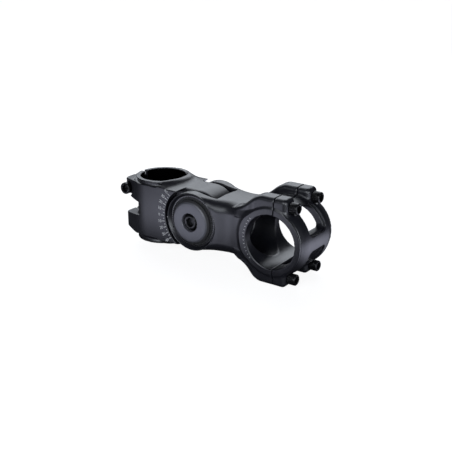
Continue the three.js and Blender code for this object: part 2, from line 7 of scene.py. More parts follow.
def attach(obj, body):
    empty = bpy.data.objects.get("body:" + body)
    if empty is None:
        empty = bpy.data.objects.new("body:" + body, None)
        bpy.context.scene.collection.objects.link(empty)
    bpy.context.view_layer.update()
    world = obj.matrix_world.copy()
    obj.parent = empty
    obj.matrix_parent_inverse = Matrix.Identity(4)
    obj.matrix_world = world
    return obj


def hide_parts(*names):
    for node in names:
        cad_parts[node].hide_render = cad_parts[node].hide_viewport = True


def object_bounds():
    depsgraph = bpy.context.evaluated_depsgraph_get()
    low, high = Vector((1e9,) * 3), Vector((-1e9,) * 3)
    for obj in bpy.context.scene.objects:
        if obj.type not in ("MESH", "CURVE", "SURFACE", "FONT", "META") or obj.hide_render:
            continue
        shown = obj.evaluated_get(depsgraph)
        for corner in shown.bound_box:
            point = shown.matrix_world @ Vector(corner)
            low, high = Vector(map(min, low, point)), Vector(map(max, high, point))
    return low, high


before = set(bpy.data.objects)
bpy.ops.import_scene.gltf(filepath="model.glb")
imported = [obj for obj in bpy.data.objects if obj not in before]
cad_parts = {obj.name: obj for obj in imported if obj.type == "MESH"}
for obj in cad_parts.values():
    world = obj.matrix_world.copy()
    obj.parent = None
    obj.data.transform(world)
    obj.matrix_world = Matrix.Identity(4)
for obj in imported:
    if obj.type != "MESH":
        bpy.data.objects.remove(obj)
cad_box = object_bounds()
scene = bpy.context.scene
scene.view_settings.view_transform = "Standard"
MM = 0.001

# Camera
# The product shot is taken from the rider's right, in front and a little above, with a telephoto lens.
# It looks at the middle of the stem, so that the bar clamp comes towards the lens.
camera = bpy.data.objects.new("camera", bpy.data.cameras.new("camera"))
scene.collection.objects.link(camera)
camera.data.sensor_width = 36
camera.data.lens = 61.77
camera.data.clip_start = 0.01
camera_target = Vector((0.0480, 0, 0.01554))
camera_back = Vector((0.5428, -0.7658, 0.3448)).normalized()
camera_distance = 0.4695
camera.location = camera_target + camera_back * camera_distance
camera.rotation_euler = camera_back.to_track_quat("Z", "Y").to_euler()
scene.camera = camera


# Floor and studio
# White paper under the stem, and soft boxes behind it, at its right and in front, as the lens sees them.
# The rest of the room is dark, and three patches of the paper glow only for reflections: painted
# reflections that show in the black forgings.
class Wire:
    """A socket of a node tree that can be used in sums."""

    def __init__(self, tree, socket=None):
        self.tree = tree
        self.socket = socket

    def node(self, kind, settings=None, sockets=None, output=0):
        made = self.tree.nodes.new(kind)
        for key, value in (settings or {}).items():
            setattr(made, key, value)
        for key, value in (sockets or {}).items():
            links = value if isinstance(value, list) else [value]
            for one in links:
                if isinstance(one, Wire):
                    self.tree.links.new(one.socket, made.inputs[key])
                else:
                    made.inputs[key].default_value = one
        return Wire(self.tree, made.outputs[output])

    def maths(self, operation, *values):
        kind = "ShaderNodeMath"
        return self.node(kind, {"operation": operation}, dict(enumerate(values)))

    def __add__(self, other):
        return self.maths("ADD", self, other)

    def __radd__(self, other):
        return self.maths("ADD", other, self)

    def __sub__(self, other):
        return self.maths("SUBTRACT", self, other)

    def __rsub__(self, other):
        return self.maths("SUBTRACT", other, self)

    def __mul__(self, other):
        return self.maths("MULTIPLY", self, other)

    def __rmul__(self, other):
        return self.maths("MULTIPLY", other, self)

    def part(self, index):
        return self.node("ShaderNodeSeparateXYZ", None, {0: self}, index)

    def mix(self, low, high):
        """A colour between two, by this value."""
        return self.node(
            "ShaderNodeMix", {"data_type": "RGBA"}, {"Factor": self, "A": low, "B": high}, "Result"
        )

    def seen_by(self, *rays):
        """1 for these kinds of ray and 0 for all others."""
        found = [self.node("ShaderNodeLightPath", None, None, f"Is {ray} Ray") for ray in rays]
        share = found[0]
        for other in found[1:]:
            share = self.maths("MAXIMUM", share, other)
        return share

    def between(self, low, high):
        """0 below low, 1 above high, and smooth in between."""
        return self.node(
            "ShaderNodeMapRange",
            {"interpolation_type": "SMOOTHSTEP"},
            {"Value": self, "From Min": low, "From Max": high},
        )


world = bpy.data.worlds.new("studio")
scene.world = world
world.use_nodes = True
sky = Wire(world.node_tree)
height = sky.node("ShaderNodeTexCoord", None, None, "Generated").part(2)
room = height.between(0.0, 0.35).mix((0.07, 0.074, 0.088, 1), (0.02, 0.021, 0.025, 1))
backdrop = sky.seen_by("Camera", "Transmission").mix(room, (1, 1, 1, 1))
world.node_tree.links.new(
    backdrop.socket, world.node_tree.nodes["Background"].inputs["Color"]
)

lowest = cad_box[0][2]
floor = bpy.data.objects.new("floor", bpy.data.meshes.new("floor"))
scene.collection.objects.link(floor)
floor_half = 3.0
floor.data.from_pydata(
    [(x * floor_half, y * floor_half, lowest) for x, y in ((-1, -1), (1, -1), (1, 1), (-1, 1))],
    [],
    [(0, 1, 2, 3)],
)
floor_finish = bpy.data.materials.new("floor_paper")
floor_finish.use_nodes = True
paper = Wire(floor_finish.node_tree)
paper_grain = paper.node(
    "ShaderNodeTexNoise",
    None,
    {"Vector": paper.node("ShaderNodeTexCoord", None, None, "Object"), "Scale": 60.0},
    "Fac",
)
paper_seen = paper.seen_by("Camera", "Transmission")
paper_tone = paper_seen.mix(
    (0.08, 0.08, 0.085, 1), paper_grain.mix((0.30, 0.30, 0.31, 1), (0.32, 0.32, 0.33, 1))
)
floor_shader = floor_finish.node_tree.nodes["Principled BSDF"]
floor_finish.node_tree.links.new(paper_tone.socket, floor_shader.inputs["Base Color"])
floor_shader.inputs["Roughness"].default_value = 0.9


def paper_patch(centre_x, centre_y, inner, outer, squeeze=1.0):
    """1 in a patch of the paper and 0 outside it. A squeeze below 1 draws it out along X."""
    at = paper.node(
        "ShaderNodeVectorMath",
        {"operation": "MULTIPLY"},
        {0: paper.node("ShaderNodeTexCoord", None, None, "Object"), 1: (squeeze, 1.0, 1.0)},
    )
    centre = (centre_x * squeeze, centre_y, lowest)
    far = paper.node(
        "ShaderNodeVectorMath", {"operation": "DISTANCE"}, {0: at, 1: centre}, "Value"
    )
    return 1.0 - far.between(inner, outer)


# These three patches glow only where the forgings reflect the paper: painted reflections, not lamps.
front_patch = paper_patch(-0.012, -0.100, inner=0.034, outer=0.060, squeeze=0.6)
right_patch = paper_patch(0.190, 0.035, inner=0.045, outer=0.090)
back_patch = paper_patch(-0.012, 0.112, inner=0.034, outer=0.070, squeeze=0.6) * 0.8
paper_bright = paper.maths("MAXIMUM", paper.maths("MAXIMUM", front_patch, right_patch), back_patch)
paper_reflection_glow = paper.seen_by("Glossy") * paper_bright
# The paper reads as white to the lens, and near the stem its glow is painted a touch greyer, a painted
# shade round the stem, so that a shadow shows.
paper_shade_round_stem = paper_patch(0.044, 0, inner=0.12, outer=0.40)
paper_white = 1.0 - paper_shade_round_stem * 0.1
paper_glow = (paper_seen * paper_white).mix(
    paper_reflection_glow.mix((0, 0, 0, 1), (1.5, 1.54, 1.88, 1)), (1, 1, 1, 1)
)
floor_finish.node_tree.links.new(paper_glow.socket, floor_shader.inputs["Emission Color"])
floor_shader.inputs["Emission Strength"].default_value = 1.0
floor.data.materials.append(floor_finish)


stem_middle = Vector((0.035, 0, 0.02))


def soft_box(name, place, size, power):
    """A soft box that faces the middle of the stem."""
    lamp = bpy.data.lights.new(name, "AREA")
    lamp.shape = "RECTANGLE"
    lamp.size, lamp.size_y = size
    lamp.energy = power
    lamp.color = (0.88, 0.93, 1.0)
    holder = bpy.data.objects.new(name, lamp)
    scene.collection.objects.link(holder)
    holder.location = place
    holder.rotation_euler = (Vector(place) - stem_middle).to_track_quat("Z", "Y").to_euler()


soft_box("back_box", place=(-0.34, 0.42, 0.46), size=(0.85, 0.62), power=3.4)
soft_box("right_box", place=(0.42, -0.24, 0.10), size=(0.30, 0.24), power=0.8)
soft_box("front_box", place=(0.10, -0.75, 0.30), size=(0.50, 0.40), power=2.0)


# Steerer clamp
# A hot-forged aluminium clamp, machined in the bores, then blasted and anodised black.
# Two lugs behind the slit take the pinch screws, and a tongue in front goes between the arm's ears.
def hyp(a, b):
    """The distance whose two shares are a and b."""
    return np.sqrt(a * a + b * b)


def both(a, b, edge=0.0):
    """What lies in a and in b, with the edge between them rounded."""
    if np.ndim(edge) == 0 and edge == 0:
        return np.maximum(a, b)
    rounded = hyp(np.maximum(edge + a, 0), np.maximum(edge + b, 0))
    return rounded + np.minimum(-edge, np.maximum(a, b))


def blunt(a, b, spread):
    """As both, for two faces that meet at a shallow angle."""
    return np.maximum(a, b) + np.maximum(spread - np.abs(a - b), 0) ** 2 / (4 * spread)


def join(a, b, fillet):
    """What lies in a or in b, with a fillet between them."""
    hollowed = hyp(np.maximum(fillet - a, 0), np.maximum(fillet - b, 0))
    return np.maximum(fillet, np.minimum(a, b)) - hollowed


def cut(a, b, edge=0.0):
    """What lies in a and not in b, with the edge between them rounded."""
    return both(a, -b, edge)


def ease(value, low, high):
    """0 below low, 1 above high, and smooth in between."""
    share = np.clip((value - low) / (high - low), 0, 1)
    return share * share * (3 - 2 * share)


def slanted(direction, a, b):
    """A sloping face that looks this way, from the distances along its two axes."""
    return a * direction[0] + b * direction[1]


def outward(form, points, reach=0.02):
    """The outward direction of a form at each point."""
    found = np.empty_like(points)
    for axis in range(3):
        shift = np.zeros(3)
        shift[axis] = reach
        found[:, axis] = form(*(points + shift).T) - form(*(points - shift).T)
    return found / np.maximum(np.linalg.norm(found, axis=1, keepdims=True), 1e-9)


def forging(name, form, low, high, step=0.5):
    """Skins a form, given in millimetres as the distance from its surface, with one net of quads."""
    margin = 1.6
    # The net's planes are shifted a little, so that none of them lies in a flat face of the form.
    offset = np.array([0.137, 0.171, 0.113])
    lines = [np.arange(a - margin, b + margin, step) + o for a, b, o in zip(low, high, offset)]
    origin = np.array([line[0] for line in lines])
    x, y, z = np.meshgrid(*lines, indexing="ij", sparse=True)
    level = np.broadcast_to(form(x, y, z), [len(line) for line in lines])
    inside = level < 0
    count = np.array(level.shape)
    places, slopes, cells, turned_in = [], [], [], []
    for axis in range(3):
        here = [slice(None)] * 3
        there = [slice(None)] * 3
        here[axis] = slice(0, -1)
        there[axis] = slice(1, None)
        a, b = level[tuple(here)], level[tuple(there)]
        crossed = np.argwhere(inside[tuple(here)] != inside[tuple(there)])
        first = a[tuple(crossed.T)]
        share = first / (first - b[tuple(crossed.T)])
        points = origin + crossed * step
        points[:, axis] += share * step
        second, third = (axis + 1) % 3, (axis + 2) % 3
        around = []
        for back_two, back_three in ((1, 1), (0, 1), (0, 0), (1, 0)):
            cell = crossed.copy()
            cell[:, second] -= back_two
            cell[:, third] -= back_three
            around.append(np.ravel_multi_index(cell.T, count))
        places.append(points)
        slopes.append(outward(form, points))
        cells.append(np.stack(around, 1))
        turned_in.append(first > 0)
    places, slopes, cells = np.concatenate(places), np.concatenate(slopes), np.concatenate(cells)
    turned_in = np.concatenate(turned_in)
    names, corner = np.unique(cells, return_inverse=True)
    corner = corner.reshape(cells.shape)
    total = len(names)
    share_of = np.bincount(corner.ravel(), minlength=total)

    def gathered(values):
        return np.bincount(corner.ravel(), np.repeat(values, 4), total)

    middle = np.stack([gathered(places[:, i]) for i in range(3)], 1) / share_of[:, None]
    # Each corner of the net goes where the faces in its cell meet, and is held a little to their middle.
    hold = 0.06
    square = np.zeros((total, 3, 3))
    pull = np.zeros((total, 3))
    reach = np.repeat(slopes, 4, 0) * (np.repeat(places, 4, 0) - middle[corner.ravel()])
    reach = reach.sum(1)
    for i in range(3):
        pull[:, i] = np.bincount(corner.ravel(), np.repeat(slopes[:, i], 4) * reach, total)
        for k in range(3):
            square[:, i, k] = gathered(slopes[:, i] * slopes[:, k])
    square += np.eye(3) * hold
    corners = middle + np.linalg.solve(square, pull[:, :, None])[:, :, 0]
    cell_low = origin + np.stack(np.unravel_index(names, count), 1) * step
    corners = np.clip(corners, cell_low, cell_low + step)
    faces = np.where(turned_in[:, None], corner[:, ::-1], corner)

    mesh = bpy.data.meshes.new(name)
    mesh.vertices.add(total)
    mesh.vertices.foreach_set("co", (corners * MM).astype(np.float32).ravel())
    mesh.loops.add(faces.size)
    mesh.loops.foreach_set("vertex_index", faces.astype(np.int32).ravel())
    mesh.polygons.add(len(faces))
    mesh.polygons.foreach_set("loop_start", np.arange(0, faces.size, 4, dtype=np.int32))
    mesh.update(calc_edges=True)
    mesh.polygons.foreach_set("use_smooth", np.ones(len(faces), bool))
    # The shading of a corner is read a little inside its face, so that a crease stays crisp.
    inset = 0.35
    centres = corners[faces].mean(1, keepdims=True)
    near = (corners[faces] * (1 - inset) + centres * inset).reshape(-1, 3)
    mesh.normals_split_custom_set(outward(form, near).astype(np.float32).tolist())
    made = bpy.data.objects.new(name, mesh)
    scene.collection.objects.link(made)
    return made


def finish_of(name, slot):
    """A new material and the two ends of its tree."""
    made = bpy.data.materials.new(name)
    made.use_nodes = True
    made["slot"] = slot
    return made, Wire(made.node_tree), made.node_tree.nodes["Principled BSDF"]


def feed(tree, shader, **values):
    """Links or sets the shader's sockets."""
    for key, value in values.items():
        socket = shader.inputs[key.replace("_", " ")]
        if isinstance(value, Wire):
            tree.tree.links.new(value.socket, socket)
        else:
            socket.default_value = value


def dress(piece, body, material, *nodes):
    """Gives a piece its finish, its body and the nodes that it stands for."""
    piece.data.materials.clear()
    piece.data.materials.append(material)
    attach(piece, body)
    if nodes:
        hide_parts(*nodes)


def noise(tree, at, scale, detail=2.0, roughness=0.5):
    """Noise of this many waves to the metre, from 0 to 1."""
    return tree.node(
        "ShaderNodeTexNoise",
        None,
        {"Vector": at, "Scale": scale, "Detail": detail, "Roughness": roughness},
        "Fac",
    )


def bump(tree, height, strength, distance):
    """Relief from a pattern, as deep as distance in metres."""
    return tree.node(
        "ShaderNodeBump",
        None,
        {"Height": height, "Strength": strength, "Distance": distance},
        "Normal",
    )


# Blasted and anodised forging: a fine even grain, faint clouds, and edges a touch lighter.
forged_black, forged_tree, forged_shader = finish_of("forged_black", "body_black")
forged_at = forged_tree.node("ShaderNodeTexCoord", None, None, "Object")
forged_cloud = noise(forged_tree, forged_at, 70.0, detail=3.0)
forged_grain = noise(forged_tree, forged_at, 1700.0, detail=3.0, roughness=0.65)
forged_speck = noise(forged_tree, forged_at, 5200.0, detail=1.0).between(0.62, 0.78)
forged_point = forged_tree.node("ShaderNodeNewGeometry", None, None, "Pointiness")
forged_edge = forged_point.between(0.50, 0.60)
forged_shade = forged_cloud * 0.35 + forged_grain * 0.45 + forged_edge * 0.25
forged_base = forged_shade.mix((0.004, 0.004, 0.007, 1), (0.012, 0.0123, 0.018, 1))
forged_tone = (forged_speck * 0.35).mix(forged_base, (0.05, 0.05, 0.06, 1))
# The bore of the steerer is painted deep black, a painted shade for the inside of the bore.
forged_plan = forged_tree.node(
    "ShaderNodeVectorMath", {"operation": "MULTIPLY"}, {0: forged_at, 1: (1, 1, 0)}
)
forged_reach = forged_tree.node(
    "ShaderNodeVectorMath", {"operation": "LENGTH"}, {0: forged_plan}, "Value"
)
forged_bore_painted_shade = 1.0 - forged_reach.between(0.01435, 0.01450)
feed(
    forged_tree,
    forged_shader,
    Base_Color=forged_bore_painted_shade.mix(forged_tone, (0.002, 0.002, 0.002, 1)),
    Roughness=forged_grain * 0.12 + forged_cloud * 0.08 + 0.26,
    Metallic=forged_bore_painted_shade,
    Specular_IOR_Level=1.0,
    Normal=bump(forged_tree, forged_grain, strength=0.30, distance=0.00006),
)

# In millimetres: X from the steerer's axis, and heights and widths from the planes of symmetry.
mid_z = 20.0
steerer_radius = 14.3
collar_radius = 16.5
clamp_half = 16.5
clamp_rear = -24.4
taper_start = -8.0
taper_face = (-0.4066, 0.9136)
crown_edge = 16.9
crown_rise = 1.3
shoulder_face = (0.215, 0.977)
shoulder_rise = 18.3
lug_rise = 16.6
lug_slope = 0.09
notch_half = 4.3
notch_from = -8.1
notch_splay = 0.129
notch_end = -6.3
slit_half = 1.2
flange_radius = 17.1
flange_from = 19.1
channel_radius = 17.3
channel_rise = 17.95
channel_wire = 1.25
pinch_x = -20.5
pinch_rise = 10.5
spot_radius = 5.4
spot_floor = 8.5
pinch_hole = 2.65
pinch_hole_end = -7.9
pivot_x = 34.0
ear_clear = 20.1
finger_radius = 18.0
finger_half = 10.5
tooth_count = 72
tooth_root = 15.7
recess_radius = 15.8
recess_floor = 8.0
bush_radius = 8.95
bush_floor = 3.3
spring_radius = 8.2
web_half = 1.0
bolt_hole = 3.3


def clamp_form(x, y, z):
    """The clamp with its lugs and tongue. A factor near 1 keeps a sloping face's value a true distance."""
    wide = np.abs(y)
    high = np.abs(z - mid_z)
    from_steerer = hyp(x, y)
    from_pivot = hyp(x - pivot_x, high)
    taper = slanted(taper_face, x - taper_start, wide - clamp_half)
    side_face = blunt(wide - clamp_half, taper, spread=2.6)
    plan = both(side_face, clamp_rear - x, edge=2.5)
    arch = crown_rise - 0.2 * ease(x, 10, 24)
    crown = (high - crown_edge - arch * (1 - np.clip(wide / clamp_half, 0, 1.2) ** 4)) * 0.98
    from_flank = hyp(np.minimum(x, 0), y) - clamp_half
    shoulder = slanted(shoulder_face, from_flank, high - shoulder_rise)
    lug_roof = high - lug_rise - (x - clamp_rear) * lug_slope
    roof = both(both(crown, shoulder, edge=0.8), lug_roof, edge=0.8)
    body = both(plan, roof, edge=0.5 + 0.9 * ease(-x, 8, 22))
    notch_wall = notch_half - notch_splay * (x - notch_from)
    notch = both((high - notch_wall) * 0.992, x - notch_end, edge=2.0)
    body = cut(body, notch, edge=0.5)
    body = both(cut(body, from_pivot - ear_clear, edge=0.5), x - pivot_x)
    collar = both(from_steerer - collar_radius, high - mid_z, edge=0.5)
    form = np.maximum(join(body, collar, fillet=1.4 + 5.0 * ease(x, 4, 14)), side_face)
    flange = both(both(from_steerer - flange_radius, high - mid_z, edge=0.45), flange_from - high)
    from_channel = hyp(from_steerer - channel_radius, high - channel_rise)
    channel = from_channel - channel_wire * (1 - ease(x, 6, 17))
    form = np.minimum(cut(form, channel, edge=0.4), both(flange, x - 14, edge=3.0))

    finger = hyp(np.maximum(x - pivot_x, 0), high) - finger_radius
    finger = both(finger, wide - finger_half, edge=3.2)
    form = np.minimum(form, both(finger, -x))

    bore_mouth = np.clip(high - 19.5, 0, 1)
    form = cut(form, from_steerer - steerer_radius - bore_mouth, edge=0.15)
    form = cut(form, both(wide - slit_half, x), edge=0.3)
    form = cut(form, both(from_pivot - recess_radius, recess_floor - wide), edge=0.3)
    form = cut(form, both(from_pivot - bush_radius, bush_floor - wide))
    form = cut(form, both(from_pivot - spring_radius, web_half - wide))
    form = cut(form, from_pivot - bolt_hole)
    for side in (-1, 1):
        from_screw = hyp(x - pinch_x, z - mid_z + side * pinch_rise)
        form = cut(form, both(from_screw - spot_radius, spot_floor - side * y), edge=0.25)
        form = cut(form, both(from_screw - pinch_hole, pinch_hole_end - side * y), edge=0.2)
    return form


steerer_clamp = forging(
    "forged_steerer_clamp", clamp_form, (clamp_rear, -clamp_half, 0), (52, clamp_half, 2 * mid_z)
)
dress(steerer_clamp, "clamp", forged_black, "steerer_clamp")


# Extension arm
# The forged arm: two ears round the tongue, a smooth neck, and the rear half of the bar clamp.
# Two ridges at each of its upper and lower sides carry the threads of the bar screws.
bar_x = 90.5
bar_radius = 15.9
bar_bolt_y = 12.5
bar_bolt_rise = 21.0
barrel_radius = 21.3
barrel_half = 17.2
bevel_from = 13.0
bevel_face = (0.3757, 0.9267)
lip_radius = 19.4
lip_half = 18.3
lip_face = 18.28
lip_mouth = 17.9
split_x = 92.0
plate_x = 92.6
ear_radius = 18.0
ear_half = 17.0
neck_loss = 1.6
waist_x = 60.0
waist_loss = 1.8
waist_reach = 7.0
ridge_foot = 16.4
ridge_rise = 9.65
ridge_fade = 4.3
ridge_top = 26.05
bar_low, bar_high = -6.1, 46.1
hollow_from = 60.5
hollow_radius = 12.5
hollow_growth = 2.1
hollow_reach = 22.0
throat_radius = 22.0
throat_half = 10.8
mouth_from = 15.0
mouth_flare = 0.75
thread_radius = 2.65
thread_from = 80.8


def barrel_form(wide, from_bar):
    """The bar clamp's round body with its bevels and end lips."""
    bevel = slanted(bevel_face, wide - bevel_from, from_bar - barrel_radius)
    body = both(both(from_bar - barrel_radius, bevel, edge=0.8), wide - barrel_half, edge=0.4)
    lip = both(from_bar - lip_radius, wide - lip_half, edge=0.5)
    return join(body, lip, fillet=0.15)


def bore_form(wide, from_bar):
    """The bar's bore, opened a little at its mouths."""
    return from_bar - bar_radius - np.clip(wide - lip_mouth, 0, 2)


def arm_form(x, y, z):
    """Ears, neck, barrel and ridges, less the bore, the hollow, the throat and the threaded holes."""
    wide = np.abs(y)
    high = np.abs(z - mid_z)
    from_pivot = hyp(x - pivot_x, high)
    from_bar = hyp(x - bar_x, high)
    ear = both(from_pivot - ear_radius, wide - ear_half, edge=0.9)
    neck_half = ear_radius - neck_loss * ease(x, 34, 50)
    waist = ear_half - waist_loss * np.exp(-((x - waist_x) / waist_reach) ** 2)
    crown = high - neck_half + 0.8 * (wide / ear_half) ** 2
    neck = both(wide - waist, crown, edge=0.9 + 5.6 * ease(x, 35, 55))
    neck = both(neck, np.maximum(pivot_x - x, x - bar_x))
    form = np.minimum(ear, neck)
    form = join(form, barrel_form(wide, from_bar), fillet=5.0)

    crest = ridge_foot + ridge_rise * ease(x, 66, 84)
    ridge_half = 3.6 + 1.5 * ease(x, 73, 80)
    ridge = both(np.abs(wide - bar_bolt_y) - ridge_half, high - crest, edge=2.6)
    ridge = ridge + ridge_fade * (1 - ease(x, 60, 68))
    ridge = both(ridge, np.maximum(56 - x, 11 - high))
    form = join(form, ridge, fillet=1.8)
    form = both(form, x - split_x, edge=0.35)

    form = cut(form, bore_form(wide, from_bar), edge=0.3)
    widening = hollow_growth * np.clip((x - hollow_from) / hollow_reach, 0, 1)
    hollow = hyp(y, high) - hollow_radius - widening
    form = cut(form, both(hollow, hollow_from - x, edge=1.0), edge=0.4)
    throat = both(from_pivot - throat_radius, wide - throat_half, edge=0.6)
    form = cut(form, throat, edge=0.7)
    flare = np.clip(wide - mouth_from, 0, 2) * mouth_flare
    form = cut(form, from_pivot - recess_radius - flare, edge=0.15)
    threads = hyp(wide - bar_bolt_y, high - bar_bolt_rise) - thread_radius
    form = cut(form, both(threads, thread_from - x), edge=0.2)
    return both(form, wide - lip_face, edge=0.3)


extension_arm = forging(
    "forged_extension_arm", arm_form, (16, -lip_half, bar_low), (split_x, lip_half, bar_high)
)
dress(extension_arm, "arm", forged_black, "extension_arm")


# Face plate
# The front half of the bar clamp, forged like the arm, with two windows and a bridge between them.
# Four bosses in its corners seat the heads of the bar screws.
boss_half = 5.1
boss_foot = 15.0
boss_x = 100.4
counterbore_radius = 4.0
screw_hole = 2.8
window_half = 8.2
window_rise = 11.4
window_height = 6.2
step_margin = 0.9
step_floor = 19.9


def plate_form(x, y, z):
    """Half of the barrel and four bosses, less the bore, the two stepped windows and the screw holes."""
    wide = np.abs(y)
    high = np.abs(z - mid_z)
    from_bar = hyp(x - bar_x, high)
    from_screw = hyp(wide - bar_bolt_y, high - bar_bolt_rise)
    boss = both(np.abs(wide - bar_bolt_y) - boss_half, high - ridge_top, edge=2.6)
    boss = both(both(boss, boss_foot - high, edge=2.6), x - boss_x, edge=2.8)
    form = join(barrel_form(wide, from_bar), boss, fillet=1.8)
    form = both(form, plate_x - x, edge=0.35)
    form = cut(form, bore_form(wide, from_bar), edge=0.3)

    behind = bar_x + 0.5 - x
    from_window = np.abs(high - window_rise)
    window = both(wide - window_half, from_window - window_height, edge=2.5)
    form = cut(form, both(window, behind), edge=0.3)
    step_half, step_height = window_half + step_margin, window_height + step_margin
    step = both(wide - step_half, from_window - step_height, edge=3.2)
    form = cut(form, both(both(step, step_floor - from_bar), behind), edge=0.3)
    form = cut(form, both(from_screw - counterbore_radius, boss_x - x), edge=0.2)
    return both(cut(form, from_screw - screw_hole, edge=0.2), wide - lip_face, edge=0.3)


face_plate = forging(
    "forged_face_plate", plate_form, (plate_x, -lip_half, bar_low), (111.8, lip_half, bar_high)
)
dress(face_plate, "plate", forged_black, "face_plate")


# Toothed rings of the lock
# Fine teeth broached in both ears and in the tongue's two recesses, 72 to the turn.
# The caps' own teeth slide in them, and at every 5 degrees they mesh again.
def tree_of(name, **inputs):
    """A Geometry Nodes tree with named inputs."""
    tree = bpy.data.node_groups.new(name, "GeometryNodeTree")
    kinds = {int: "NodeSocketInt", float: "NodeSocketFloat"}
    for label, value in inputs.items():
        other = "NodeSocketMaterial" if label == "Material" else "NodeSocketObject"
        kind = kinds.get(type(value), other)
        shown = label.replace("_", " ")
        socket = tree.interface.new_socket(name=shown, in_out="INPUT", socket_type=kind)
        if value is not None:
            socket.default_value = value
    tree.interface.new_socket(name="Geometry", in_out="OUTPUT", socket_type="NodeSocketGeometry")
    start = tree.nodes.new("NodeGroupInput")
    return tree, {o.name: Wire(tree, o) for o in start.outputs if o.name}


def close_tree(tree, shape, material):
    """Ends the tree in real geometry that has its material."""
    real = shape.node("GeometryNodeRealizeInstances", None, {0: shape})
    done = real.node("GeometryNodeSetMaterial", None, {"Geometry": real, "Material": material})
    end = tree.nodes.new("NodeGroupOutput")
    tree.links.new(done.socket, end.inputs[0])


def grown(name, tree, **sizes):
    """Runs a tree and keeps its result as a plain mesh."""
    made = bpy.data.objects.new(name, bpy.data.meshes.new(name))
    scene.collection.objects.link(made)
    modifier = made.modifiers.new("shape", "NODES")
    modifier.node_group = tree
    for item in tree.interface.items_tree:
        label = item.name.replace(" ", "_")
        if item.in_out == "INPUT" and label in sizes:
            modifier[item.identifier] = sizes[label]
    graph = bpy.context.evaluated_depsgraph_get()
    mesh = bpy.data.meshes.new_from_object(made.evaluated_get(graph))
    made.modifiers.clear()
    made.data = mesh
    return made


def settle(piece, place, bend=30):
    """Puts a mesh where it belongs, closes its seams and turns its faces outwards."""
    mesh = piece.data
    mesh.transform(place)
    work = bmesh.new()
    work.from_mesh(mesh)
    bmesh.ops.remove_doubles(work, verts=work.verts, dist=1e-7)
    bmesh.ops.dissolve_degenerate(work, edges=work.edges, dist=1e-8)
    bmesh.ops.recalc_face_normals(work, faces=work.faces)
    work.to_mesh(mesh)
    work.free()
    mesh.polygons.foreach_set("use_smooth", np.ones(len(mesh.polygons), bool))
    mesh.set_sharp_from_angle(angle=np.radians(bend))


def on_pivot(side, turn=0.0):
    """A place on the pivot whose own Z axis points out of the stem at that side."""
    centre = Matrix.Translation((pivot_x * MM, 0, mid_z * MM))
    outwards = Matrix.Rotation(np.radians(-90 * side), 4, "X")
    return centre @ outwards @ Matrix.Rotation(turn, 4, "Z") @ Matrix.Scale(MM, 4)


ring_tree, ring_in = tree_of(
    "toothed_ring",
    Teeth=tooth_count,
    Tip_radius=14.9,
    Root_radius=tooth_root,
    Plain_radius=16.1,
    Width=5.0,
    Material=None,
)
ring_start = Wire(ring_tree)
star = ring_start.node(
    "GeometryNodeCurveStar",
    None,
    {
        "Points": ring_in["Teeth"],
        "Inner Radius": ring_in["Tip radius"],
        "Outer Radius": ring_in["Root radius"],
    },
)
hoop = ring_start.node(
    "GeometryNodeCurvePrimitiveCircle",
    None,
    {"Resolution": ring_in["Teeth"] * 2, "Radius": ring_in["Plain radius"]},
)
outline = ring_start.node("GeometryNodeJoinGeometry", None, {0: [star, hoop]})
flat_ring = ring_start.node("GeometryNodeFillCurve", None, {"Curve": outline})
raised = ring_start.node(
    "GeometryNodeExtrudeMesh",
    None,
    {"Mesh": flat_ring, "Offset Scale": ring_in["Width"], "Individual": False},
)
under = ring_start.node("GeometryNodeFlipFaces", None, {0: flat_ring})
ring_shape = ring_start.node("GeometryNodeJoinGeometry", None, {0: [raised, under]})
close_tree(ring_tree, ring_shape, ring_in["Material"])

# The broached teeth are painted near black, a painted shade for the deep gap they lie in, and only their
# crests shine.
broached_painted_shade, broached_tree, broached_shader = finish_of("broached_black", "body_black")
broached_at = broached_tree.node("ShaderNodeTexCoord", None, None, "Object")
broached_mark = noise(broached_tree, broached_at, 1800.0, detail=3.0)
feed(
    broached_tree,
    broached_shader,
    Base_Color=broached_mark.mix((0.003, 0.003, 0.004, 1), (0.010, 0.010, 0.012, 1)),
    Metallic=0.0,
    Roughness=broached_mark * 0.2 + 0.12,
    Specular_IOR_Level=1.0,
    Normal=bump(broached_tree, broached_mark, strength=0.1, distance=0.00003),
)

for side, label in ((-1, "right"), (1, "left")):
    for part, body, inner_end, width in (("ear", "arm", 10.9, 4.0), ("tongue", "clamp", 7.9, 2.3)):
        teeth = grown(f"{label}_{part}_teeth", ring_tree, Width=width, Material=broached_painted_shade)
        settle(teeth, on_pivot(side) @ Matrix.Translation((0, 0, inner_end)), bend=20)
        dress(teeth, body, broached_painted_shade)


# Lock caps
# Two turned and toothed aluminium caps, one in each ear, standing a little proud while the lock is open.
# The right one has a round counterbore for the bolt's head and the left one a hexagonal seat for the nut.
def turned(name, profile, sides):
    """A piece turned about its Z axis, from rows of height and radius. A radius may vary round it."""
    angle = np.arange(sides) * 2 * np.pi / sides
    rows = []
    for height, radius in profile:
        reach = radius(angle) if callable(radius) else np.full(sides, float(radius))
        level = np.full(sides, height)
        rows.append(np.stack([reach * np.cos(angle), reach * np.sin(angle), level], 1))
    rows = np.array(rows)
    here = np.arange(sides)
    after = (here + 1) % sides
    faces = []
    for i in range(len(profile) - 1):
        a, b = i * sides, (i + 1) * sides
        faces.append(np.stack([a + here, a + after, b + after, b + here], 1))
    mesh = bpy.data.meshes.new(name)
    mesh.from_pydata(rows.reshape(-1, 3).tolist(), [], np.concatenate(faces).tolist())
    made = bpy.data.objects.new(name, mesh)
    scene.collection.objects.link(made)
    return made


def across_flats(flat):
    """The radius of a hexagon round the turn."""
    sixth = np.pi / 3
    return lambda angle: flat / 2 / np.cos((angle + sixth / 2) % sixth - sixth / 2)


def serrated(tip, root, count):
    """The radius of pointed teeth round the turn."""
    return lambda angle: root + (tip - root) * np.abs((angle * count / (2 * np.pi)) % 1 * 2 - 1)


